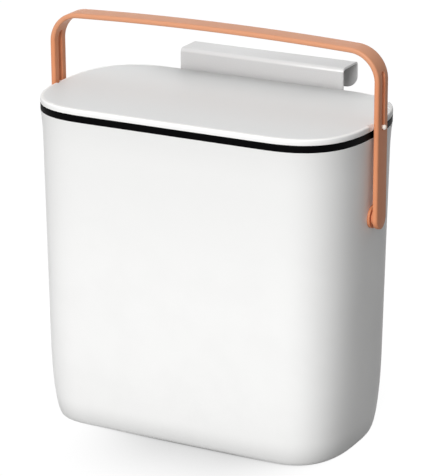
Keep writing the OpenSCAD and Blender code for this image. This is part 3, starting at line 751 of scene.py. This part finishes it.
class Shader:
    # The nodes of a material or a world
    def __init__(self, owner):
        self.owner = owner
        self.owner.use_nodes = True
        self.tree = owner.node_tree
        self.tree.nodes.clear()
        self.place = None

    def add(self, kind, settings=None, inputs=None, output=0):
        # One node: its settings first, and then the values or links of its sockets
        node = self.tree.nodes.new(kind)
        for key, value in (settings or {}).items():
            setattr(node, key, value)
        for key, value in (inputs or {}).items():
            if isinstance(value, Value):
                self.tree.links.new(value.socket, node.inputs[key])
            else:
                node.inputs[key].default_value = value
        return Value(self, node.outputs[output]) if node.outputs else None

    def coordinates(self):
        if self.place is None:
            self.place = self.add("ShaderNodeTexCoord", output="Object")
        return self.place

    def axis(self, name):
        return self.add("ShaderNodeSeparateXYZ", inputs={0: self.coordinates()}, output=name)

    def stretched(self, scale):
        return self.add("ShaderNodeMapping", inputs={"Vector": self.coordinates(), "Scale": scale})

    def noise(self, size, detail=2.0, vector=None):
        # Noise whose features are about size metres across
        return self.add("ShaderNodeTexNoise", inputs={
            "Vector": vector or self.coordinates(), "Scale": 1 / size, "Detail": detail})

    def mix(self, factor, a, b):
        # Mix of two colours
        return self.add("ShaderNodeMix", {"data_type": "RGBA"}, {0: factor, 6: a, 7: b}, output=2)

    def bump(self, height, distance):
        return self.add("ShaderNodeBump", inputs={"Height": height, "Distance": distance})

    def rays(self, *kinds):
        # 1 where the surface is met by a ray of one of the kinds
        met = [self.add("ShaderNodeLightPath", output=f"Is {kind} Ray") for kind in kinds]
        seen = met[0]
        for other in met[1:]:
            seen = seen.math("MAXIMUM", other)
        return seen

    def finish(self, **inputs):
        # Principled surface; underscores stand for spaces in the sockets' names
        return self.out(self.add("ShaderNodeBsdfPrincipled", inputs={
            k.replace("_", " "): v for k, v in inputs.items()}))

    def out(self, surface, kind="ShaderNodeOutputMaterial"):
        self.add(kind, inputs={"Surface": surface})
        return self.owner


def newMaterial(name):
    return Shader(bpy.data.materials.new(name))


# Moulded plastics

plastic = {
    "bucket": {"colour": shown(248, 248, 247), "shade": shown(246, 246, 245), "roughness": 0.5, "shine": 0.4,
               "grain": 0.00045, "depth": 0.000012, "swirl": 0.03},
    "lid": {"colour": shown(253, 253, 252), "shade": shown(251, 251, 250), "roughness": 0.56, "shine": 0.25,
            "grain": 0.0006, "depth": 0.000018, "swirl": 0.02},
    "ring": {"colour": shown(4, 4, 5), "shade": shown(2, 2, 3), "roughness": 0.5, "shine": 0.03,
             "grain": 0.0005, "depth": 0.00001, "swirl": 0.02},
    "liner": {"colour": shown(232, 232, 229), "shade": shown(224, 224, 221), "roughness": 0.5, "shine": 0.4,
              "grain": 0.0005, "depth": 0.000012, "swirl": 0.02},
    "cap": {"colour": shown(78, 78, 80), "shade": shown(66, 66, 68), "roughness": 0.5, "shine": 0.4,
            "grain": 0.0004, "depth": 0.00001, "swirl": 0.01},
}
moulding = {"clouds": (0.35, 0.75), "fineSize": 0.4, "fineShare": 0.4, "grainRough": 0.12, "cloudRough": 0.06}

# Painted shade on the bucket, darker towards its foot and towards its rim
bucketShadeLook = {
    "foot": shown(212, 212, 211), "footHeight": 0.02, "footShare": 0.6,
    "top": shown(239, 239, 238), "topStart": 0.1,
}

# Painted light on the lid: a greyer top inside the edge, which leaves a painted highlight on the edge, and a
# painted shadow along the hook
lidLightLook = {
    "inside": shown(236, 238, 238), "edgeStart": 0.95, "edgeFull": 0.975,
    "dust": shown(190, 191, 191), "dustPower": 2.7, "dustInside": 0.02, "dustBeyond": 0.03,
}


def bucketPaintedShade(s, colour):
    # Painted shade: the bucket darkens a little towards the foot it stands on, and less towards the rim
    w, z = bucketShadeLook, s.axis("Z")
    foot, top = 1 - z.between(0, w["footHeight"]), z.between(w["topStart"], bucket["rimZ"])
    return s.mix(foot * w["footShare"], s.mix(top, colour, w["top"]), w["foot"])


def lidPaintedLight(s, colour):
    # Painted highlight and shadow on the lid: its top is painted greyer inside its edge, so the edge shows as
    # a painted highlight, and a painted shadow lies on it along the hook.
    # From the middle to the outline, r = (u^n + v^n)^(1/n) goes from 0 to 1, with u and v along the two axes.
    w, n = lidLightLook, rim["power"]
    x, y, backEdge = s.axis("X"), s.axis("Y"), rim["depth"] / 2
    u = (abs(x) - (rim["width"] / 2 - rim["end"])).math("MAXIMUM", 0) / rim["end"]
    v = abs(y) / backEdge
    edge = ((u ** n + v ** n) ** (1 / n)).between(w["edgeStart"], w["edgeFull"])
    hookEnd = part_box("hanger_bracket")[1].x
    beside = abs(x).between(hookEnd - w["dustInside"], hookEnd + w["dustBeyond"])
    hookShade = (y.math("MAXIMUM", 0) / backEdge) ** w["dustPower"] * (1 - beside)
    return s.mix(hookShade, s.mix(edge, w["inside"], colour), w["dust"])


def mouldedPlastic(name, look, paintedLight=None):
    # Spark-eroded grain, faint flow clouds and a roughness that follows both
    s, m = newMaterial(name), moulding
    clouds = s.noise(look["swirl"], detail=3.0)
    grain = s.noise(look["grain"])
    fine = s.noise(look["grain"] * m["fineSize"], detail=1.0)
    colour = s.mix(clouds.between(*m["clouds"]), look["colour"], look["shade"])
    return s.finish(
        # For the bucket and the lid, the colour also carries painted shade and highlight
        Base_Color=paintedLight(s, colour) if paintedLight else colour,
        Roughness=look["roughness"] + (grain - 0.5) * m["grainRough"] + (clouds - 0.5) * m["cloudRough"],
        Specular_IOR_Level=look["shine"],
        Normal=s.bump(grain + fine * m["fineShare"], look["depth"]))


# Soft-touch finish of the strap, a little polished towards the top of the grip, and painted paler there as a
# painted sheen of the light from above

# The grip's paler colour is a painted sheen
strapFinish = {
    "colour": shown(221, 147, 107), "shade": shown(217, 143, 103), "swirl": 0.012, "clouds": (0.3, 0.8),
    "held": shown(219, 155, 119), "heldLow": 0.03, "heldHigh": 0.01, "polish": 0.06,
    "grain": 0.0004, "grainRough": 0.12, "depth": 0.00001, "roughness": 0.46, "shine": 0.15,
}


def strapPlastic():
    s, f = newMaterial("strapPlastic"), strapFinish
    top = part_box("handle")[1].z
    clouds = s.noise(f["swirl"], detail=3.0)
    grain = s.noise(f["grain"])
    held = s.axis("Z").between(top - f["heldLow"], top - f["heldHigh"])
    colour = s.mix(clouds.between(*f["clouds"]), f["colour"], f["shade"])
    return s.finish(
        # Painted sheen: paler colour towards the top of the grip
        Base_Color=s.mix(held, colour, f["held"]),
        Roughness=f["roughness"] + (grain - 0.5) * f["grainRough"] - held * f["polish"],
        Specular_IOR_Level=f["shine"],
        Normal=s.bump(grain, f["depth"]))


# Rubber of the base pad and the lid's seal

rubberFinish = {
    "pad": (120, 120, 118), "seal": (168, 168, 165), "shade": 0.88, "grain": 0.0007, "spread": (0.3, 0.7),
    "roughness": 0.78, "grainRough": 0.15, "depth": 0.00003,
}


def rubber(name, colour):
    s, f = newMaterial(name), rubberFinish
    grain = s.noise(f["grain"], detail=4.0)
    shade = [c * f["shade"] for c in colour]
    return s.finish(
        Base_Color=s.mix(grain.between(*f["spread"]), shown(*colour), shown(*shade)),
        Roughness=f["roughness"] + (grain - 0.5) * f["grainRough"],
        Normal=s.bump(grain, f["depth"]))


# Drawn or plated steel, with fine scratches along its length

steelFinish = {
    "pin": 0.3, "screw": 0.38, "colour": shown(196, 197, 200), "shade": shown(172, 173, 177),
    "scratch": 0.0003, "stretch": (0.08, 1, 1), "scratchRough": 0.16, "depth": 0.000006,
}


def steel(name, roughness):
    s, f = newMaterial(name), steelFinish
    scratches = s.noise(f["scratch"], detail=3.0, vector=s.stretched(f["stretch"]))
    return s.finish(
        Base_Color=s.mix(scratches, f["colour"], f["shade"]),
        Metallic=1.0, Roughness=roughness + (scratches - 0.5) * f["scratchRough"],
        Normal=s.bump(scratches, f["depth"]))


# Cured powder: an orange-peel surface over sheet steel, with a painted highlight on the bend above the lid

# The bend's lighter colour is a painted highlight
powderFinish = {
    "colour": shown(210, 210, 210), "shade": shown(207, 207, 207), "peel": 0.0008, "spread": (0.3, 0.7),
    "rubbed": shown(225, 225, 225), "rubStart": 0.002, "fine": 0.0003, "fineShare": 0.3, "fineRough": 0.08,
    "roughness": 0.36, "coat": 1.0, "coatRoughness": 0.3, "depth": 0.000006,
}


def powderCoat():
    # Painted highlight where y + (top - z) is small, which is on the bend alone
    s, f = newMaterial("powderCoat"), powderFinish
    peel = s.noise(f["peel"])
    fine = s.noise(f["fine"], detail=1.0)
    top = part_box("hanger_bracket")[1].z
    rubbed = 1 - (s.axis("Y") - plateY + (top - s.axis("Z"))).between(f["rubStart"], hook["bend"])
    colour = s.mix(peel.between(*f["spread"]), f["colour"], f["shade"])
    return s.finish(
        Base_Color=s.mix(rubbed, colour, f["rubbed"]),
        Roughness=f["roughness"] + (fine - 0.5) * f["fineRough"],
        Coat_Weight=f["coat"], Coat_Roughness=f["coatRoughness"],
        Normal=s.bump(peel + fine * f["fineShare"], f["depth"]))


# Closed-cell foam: dark pores between lighter walls, over broad shallow patches

foamFinish = {
    "pore": shown(74, 74, 77), "wall": shown(104, 104, 107), "poreSize": 0.0007, "spread": (0.1, 0.6),
    "patch": 0.004, "patchShare": 0.5, "patchRough": 0.1, "roughness": 0.85, "depth": 0.0001,
}


def foam():
    s, f = newMaterial("foam"), foamFinish
    pores = s.add("ShaderNodeTexVoronoi", inputs={"Vector": s.coordinates(), "Scale": 1 / f["poreSize"]})
    patches = s.noise(f["patch"])
    return s.finish(
        Base_Color=s.mix(pores.between(*f["spread"]), f["pore"], f["wall"]),
        Roughness=f["roughness"] + (patches - 0.5) * f["patchRough"],
        Normal=s.bump(pores + patches * f["patchShare"], f["depth"]))


# Polished cream plastic of the lid's pins, with a faint cloud

pearlFinish = {
    "colour": shown(253, 246, 234), "shade": shown(249, 240, 226), "swirl": 0.002, "clouds": (0.3, 0.7),
    "roughness": 0.2, "cloudRough": 0.06, "coat": 0.6, "depth": 0.000004,
}


def pearl():
    s, f = newMaterial("pearl"), pearlFinish
    clouds = s.noise(f["swirl"], detail=3.0)
    return s.finish(
        Base_Color=s.mix(clouds.between(*f["clouds"]), f["colour"], f["shade"]),
        Roughness=f["roughness"] + (clouds - 0.5) * f["cloudRough"], Coat_Weight=f["coat"],
        Normal=s.bump(clouds, f["depth"]))


finishes = {
    "white_shell": mouldedPlastic("bucketPlastic", plastic["bucket"], bucketPaintedShade),
    "white_lid": mouldedPlastic("lidPlastic", plastic["lid"], lidPaintedLight),
    "black_ring": mouldedPlastic("ringPlastic", plastic["ring"]),
    "liner_plastic": mouldedPlastic("linerPlastic", plastic["liner"]),
    "cap_plastic": mouldedPlastic("capPlastic", plastic["cap"]),
    "orange_strap": strapPlastic(),
    "foot_rubber": rubber("padRubber", rubberFinish["pad"]),
    "seal_rubber": rubber("sealRubber", rubberFinish["seal"]),
    "pin_steel": steel("pinSteel", steelFinish["pin"]),
    "screw_steel": steel("screwSteel", steelFinish["screw"]),
    "hook_coat": powderCoat(),
    "pad_foam": foam(),
    "pearl_pin": pearl(),
}


def dress():
    # Each piece takes the finish of its slot in the record, or the one it names itself
    slots = {p["node"]: p["material_slot"] for p in frame["record"]["subparts"]}
    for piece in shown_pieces():
        slot = piece.get("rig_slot") or slots[piece["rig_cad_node"]]
        piece.data.materials.clear()
        piece.data.materials.append(finishes[slot])


dress()
print("materials made:", len(finishes))


# Floor, world and lights

studio = {
    "white": (1, 1, 1, 1), "worldLight": 0.152,
    "floorSize": 12.0, "floorColour": (0.25, 0.25, 0.25, 1), "floorGlow": (1.02, 1.02, 1.02, 1),
    "contactColour": (0.18, 0.18, 0.18, 1), "contactReach": 0.11, "contactPower": 1.6, "contactSamples": 16,
    "contactX": 0.016, "contactNear": 0.02, "contactFar": 0.11,
    "lamps": [
        {"name": "key", "azimuth": 4, "elevation": 27, "distance": 7.0, "size": 3.7, "power": 480},
        {"name": "top", "azimuth": 200, "elevation": 70, "distance": 3.0, "size": 5.0, "power": 34},
        {"name": "back", "azimuth": 207, "elevation": 9, "distance": 4.0, "size": 1.2, "power": 50,
         "shines": False},
    ],
}


def makeFloor():
    # Matt to the light; the camera sees it white, with a painted shadow by the middle of the caddy's foot:
    # the occlusion near the caddy, kept near the middle by a mask on X
    s = studio
    half = s["floorSize"] / 2
    floor = meshPiece("floor", [[-half, -half, 0], [half, -half, 0], [half, half, 0], [-half, half, 0]],
                      [[0, 1, 2, 3]])
    m = newMaterial("floor")
    clear = m.add("ShaderNodeAmbientOcclusion", {"samples": s["contactSamples"]},
                  {"Distance": s["contactReach"]}, output="AO")
    # Painted shadow, weakened away from the middle of the caddy's front
    aside = abs(m.axis("X") - s["contactX"]).between(s["contactNear"], s["contactFar"])
    shade = (1 - clear) ** s["contactPower"] * (1 - aside)
    matt = m.add("ShaderNodeBsdfDiffuse", inputs={"Color": s["floorColour"]})
    glow = m.add("ShaderNodeEmission", inputs={"Color": m.mix(shade, s["floorGlow"], s["contactColour"])})
    seen = m.rays("Camera", "Glossy")
    floor.data.materials.append(m.out(m.add("ShaderNodeMixShader", inputs={0: seen, 1: matt, 2: glow})))


def makeWorld():
    # A dim light all round, and white to the camera, in reflections and through clear pieces
    world = bpy.data.worlds.new("studio")
    bpy.context.scene.world = world
    w = Shader(world)
    ambient, white = (w.add("ShaderNodeBackground", inputs={"Color": studio["white"], "Strength": strength})
                      for strength in (studio["worldLight"], 1))
    seen = w.rays("Camera", "Glossy", "Transmission")
    w.out(w.add("ShaderNodeMixShader", inputs={0: seen, 1: ambient, 2: white}), "ShaderNodeOutputWorld")


def makeLamps():
    target = Vector(camera["target"])
    for spec in studio["lamps"]:
        data = bpy.data.lights.new(spec["name"], "AREA")
        data.energy, data.size = spec["power"], spec["size"]
        lamp = bpy.data.objects.new(spec["name"], data)
        lamp.location = aroundObject(spec["azimuth"], spec["elevation"], spec["distance"], target)
        lamp.rotation_euler = (target - lamp.location).to_track_quat("-Z", "Y").to_euler()
        lamp.visible_glossy = spec.get("shines", True)
        bpy.context.scene.collection.objects.link(lamp)


makeFloor()
makeWorld()
makeLamps()
bpy.context.scene.view_settings.view_transform = "Standard"
print("studio made")
